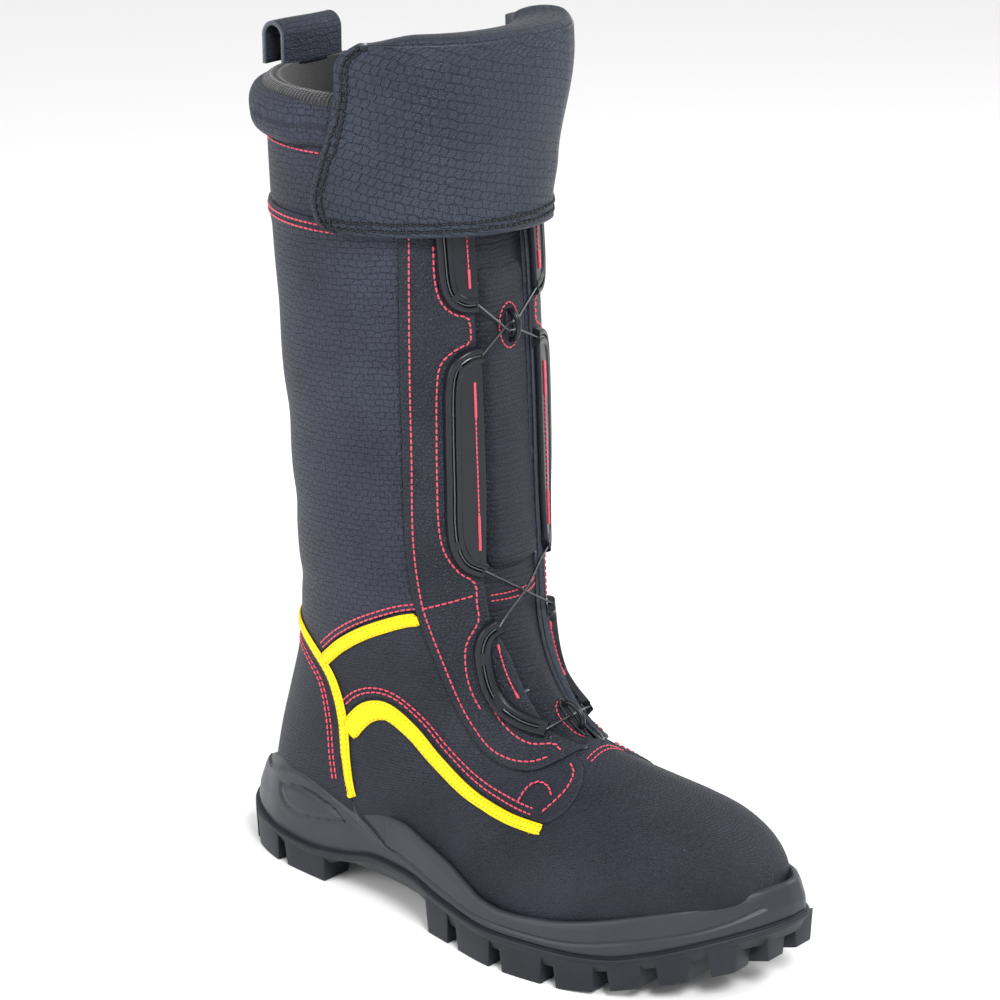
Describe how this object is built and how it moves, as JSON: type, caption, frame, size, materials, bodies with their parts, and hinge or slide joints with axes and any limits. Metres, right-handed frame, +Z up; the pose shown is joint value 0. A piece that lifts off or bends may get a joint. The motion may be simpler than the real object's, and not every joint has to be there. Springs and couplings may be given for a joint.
{
  "type": "fire boot",
  "caption": "Tall lace-up fire boot with a wire lacing reel, a fold-down collar flap, yellow piping, steel toe cap and lugged rubber sole.",
  "frame": {"origin": "on the ground, below the middle of the boot's bounding box", "axes": "+Z up the shaft, -Y towards the toe, -X towards the outer side of this right boot"},
  "size_m": [0.1296, 0.318, 0.4207],
  "materials": {
    "leather": "dark blue-black waterproof leather, satin",
    "facing_leather": "finely pebbled black leather, low sheen",
    "lining": "dark membrane lining cloth, matt",
    "piping": "bright yellow reflective piping, satin",
    "rubber": "black moulded rubber, matt",
    "midsole": "dark grey moulded foam rubber, satin",
    "plastic": "dark grey moulded plastic, glossy",
    "hook_and_loop": "black hook-and-loop tape, matt",
    "steel": "plain steel, brushed",
    "wire": "coated steel wire, satin",
    "board": "pressed fibre board, matt",
    "footbed": "needled felt over foam, matt"
  },
  "bodies": {
    "boot": {"vamp": "leather", "heel_cover": "leather", "quarter_lateral": "leather", "quarter_medial": "leather", "shaft_panel": "leather", "top_band": "leather", "collar_pad": "leather", "pull_loop": "leather", "collar_gusset": "leather", "facing_lateral": "facing_leather", "facing_medial": "facing_leather", "tongue_lower": "facing_leather", "tongue_upper": "facing_leather", "tongue_pad": "facing_leather", "lining": "lining", "piping_heel": "piping", "piping_ankle_lateral": "piping", "piping_ankle_medial": "piping", "piping_side_lateral": "piping", "piping_side_medial": "piping", "outsole": "rubber", "midsole": "midsole", "guide_upper_lateral": "plastic", "guide_upper_medial": "plastic", "guide_middle_lateral": "plastic", "guide_middle_medial": "plastic", "guide_lower_lateral": "plastic", "guide_lower_medial": "plastic", "tongue_guide_upper": "plastic", "tongue_guide_lower": "plastic", "reel_housing": "plastic", "loop_patch_lateral": "hook_and_loop", "loop_patch_medial": "hook_and_loop", "toe_cap": "steel", "puncture_plate": "steel", "shank": "steel", "reel_axle": "steel", "lace": "wire", "heel_stiffener": "board", "insole_board": "board", "footbed": "footbed"},
    "flap": {"flap": "leather", "hook_patch_lateral": "hook_and_loop", "hook_patch_medial": "hook_and_loop"},
    "spool": {"reel_spool": "plastic", "reel_ratchet": "steel"},
    "knob": {"reel_knob": "plastic"}
  },
  "joints": [
    {"name": "flap_fold", "type": "hinge", "parent": "boot", "child": "flap", "pos_m": [0, -0.00487, 0.4148], "axis": [-1, 0, 0], "range_deg": [0, 165]},
    {"name": "spool_spin", "type": "hinge", "parent": "boot", "child": "spool", "pos_m": [0, 0.00778, 0.351], "axis": [0, -0.9972, 0.0743], "continuous": true},
    {"name": "knob_pull", "type": "slide", "parent": "spool", "child": "knob", "axis": [0, -0.9972, 0.0743], "range_m": [0, 0.0022]}
  ]
}
